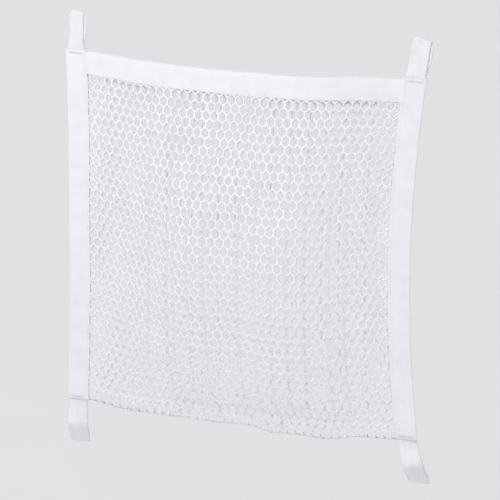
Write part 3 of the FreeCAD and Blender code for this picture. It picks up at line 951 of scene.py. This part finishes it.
def binding_face(side, x, z):
    """Half the thickness of a binding at a place between its fold and its free edge."""
    fold = stack(z)
    share = (np.abs(outer[side](z) - x) - fold) / (np.abs(outer[side](z) - inner[side](z)) - fold)
    return fold + (lip(z) - fold) * np.clip(share, 0, 1) ** LIP_CURVE


def make_bartack(end, side):
    """A dense zigzag of thread across the binding, over the end of the loop's webbing."""
    node = "bartack_%s_%s" % (end, side)
    low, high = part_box(node)
    x = np.linspace(low.x, high.x, BARTACK_STRANDS + 1)
    z = np.where(np.arange(BARTACK_STRANDS + 1) % 2, low.z, high.z)
    points = np.stack([x, -binding_face(side, x, z), z], axis=1)
    out = np.tile([0.0, -1.0, 0.0], (BARTACK_STRANDS, 1))
    piece = threads(node + "_zigzag", points[:-1], points[1:], out, sewing_thread, BARTACK_RADIUS)
    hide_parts(node)


for end in ENDS:
    for side in SIDES:
        make_bartack(end, side)


def make_bottom_seam():
    """The row of stitches that closes the two nets along the bottom."""
    places = np.linspace(-HALF_HEM, HALF_HEM, 130)
    edge = np.stack([places, 0 * places, bottom(places)], axis=1)
    inward = np.tile([0.0, 0.0, 1.0], (len(places), 1))
    depths = np.full(len(places), PINCH + KNOT_RISE)
    sewn_line("stitches_bottom", edge, inward, SEAM_RISE, depths, ["bottom_seam_stitch"])


make_bottom_seam()


# Light, floor and camera ---------------------------------------------------------------------

def aim(place, target, roll=0.0):
    """A rotation that looks from a place at a target, turned about the line of sight."""
    back = (place - target).normalized()
    return (-back).to_track_quat("-Z", "Y") @ Quaternion((0, 0, 1), roll)


def add_light(name, kind, offset, power, **settings):
    """A soft light at an offset from the bag's middle, which it is turned towards."""
    data = bpy.data.lights.new(name, kind)
    data.energy = power
    for setting, value in settings.items():
        setattr(data, setting, value)
    lamp = bpy.data.objects.new(name, data)
    lamp.location = CENTRE + Vector(offset)
    lamp.rotation_mode = "QUATERNION"
    lamp.rotation_quaternion = aim(lamp.location, CENTRE)
    bpy.context.scene.collection.objects.link(lamp)


def make_floor():
    """A plain pale floor under the hanging bag."""
    level = cad_box[0].z - FLOOR_DROP
    square = ((-1, -1), (1, -1), (1, 1), (-1, 1))
    corners = [(x * FLOOR_REACH, y * FLOOR_REACH, level) for x, y in square]
    mesh = bpy.data.meshes.new("floor")
    mesh.from_pydata(corners, [], [(0, 1, 2, 3)])
    floor = bpy.data.objects.new("floor", mesh)
    bpy.context.scene.collection.objects.link(floor)
    material, nodes, links, surface = shader("floor_paper", sheen=0)
    surface.inputs["Roughness"].default_value = 0.95
    mottle = noise_node(nodes, links, scale=3, detail=2)
    tint(nodes, links, surface, mottle, dark=(0.84, 0.825, 0.85), light=(0.86, 0.845, 0.87))
    mesh.materials.append(material)


def make_camera():
    """The camera, which looks at the bag from its right and from above."""
    azimuth, elevation, roll = (math.radians(angle) for angle in (AZIMUTH, ELEVATION, ROLL))
    back = Vector((math.sin(azimuth) * math.cos(elevation), -math.cos(azimuth) * math.cos(elevation),
                   math.sin(elevation)))
    data = bpy.data.cameras.new("camera")
    data.lens = FOCAL_LENGTH
    data.sensor_width = 36
    data.clip_end = 200
    camera = bpy.data.objects.new("camera", data)
    camera.location = TARGET + back * DISTANCE
    camera.rotation_mode = "QUATERNION"
    camera.rotation_quaternion = aim(camera.location, TARGET, roll)
    bpy.context.scene.collection.objects.link(camera)
    bpy.context.scene.camera = camera


def light_world():
    """Even white light from all round."""
    world = bpy.data.worlds.new("studio")
    world.use_nodes = True
    background = world.node_tree.nodes["Background"]
    background.inputs["Color"].default_value = (1, 1, 1, 1)
    background.inputs["Strength"].default_value = 0.78
    bpy.context.scene.world = world


CENTRE = Vector((0, 0, MIDDLE))
TARGET = CENTRE + Vector((8.97, 0, -4.9)) * MM     # what the photo is centred on
AZIMUTH, ELEVATION, ROLL = 18.67, 16.35, 0.58      # degrees
DISTANCE = 2.913                   # from the camera to what it looks at
FOCAL_LENGTH = 216                 # millimetres, on a film 36 wide
FLOOR_DROP = 0.5                   # from the bag's lowest point to the floor
FLOOR_REACH = 60                   # far enough to fill every view

make_camera()
make_floor()
add_light("key", "SUN", (-0.2, -2.2, 1.7), power=0.55, angle=math.radians(40))
add_light("near", "AREA", (-0.15, -0.6, 0.45), power=1.25, shape="DISK", size=0.4)
light_world()
bpy.context.scene.view_settings.view_transform = "Standard"
